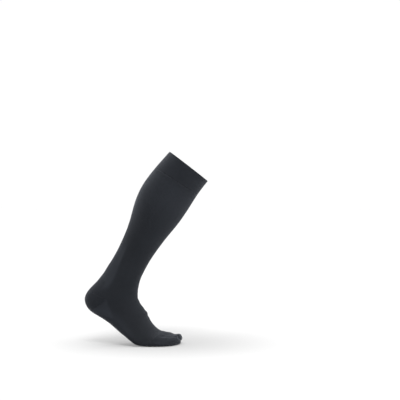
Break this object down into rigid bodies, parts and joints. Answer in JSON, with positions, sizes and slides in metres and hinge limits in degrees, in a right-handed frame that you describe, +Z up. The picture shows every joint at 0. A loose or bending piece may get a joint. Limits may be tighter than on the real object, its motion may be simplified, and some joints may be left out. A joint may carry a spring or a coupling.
{
  "type": "compression stocking",
  "caption": "Knee-high closed-toe compression stocking for a right leg, filled out as worn with the heel raised: doubled cuff, leg, heel pocket, foot and toe.",
  "frame": {"origin": "the middle of the leg opening, in the plane of its folded edge", "axes": "+X forward, the way the toe points; +Y to the inner side, where the big toe is; +Z up, with the floor level under the sole at z = -0.4184"},
  "size_m": [0.2874, 0.1138, 0.4523],
  "materials": {
    "plain_knit": "fine plain knit of covered elastic yarn, charcoal",
    "toe_knit": "fine knit, slightly thicker, charcoal",
    "doubled_knit": "the same knit folded double, darker",
    "reinforced_knit": "denser knit, darker"
  },
  "bodies": {
    "root": {"cuff": "doubled_knit", "leg_upper": "plain_knit", "leg_middle": "plain_knit", "leg_lower": "plain_knit", "heel": "reinforced_knit", "foot_rear": "plain_knit", "foot_front": "plain_knit", "toe": "toe_knit"}
  },
  "joints": []
}
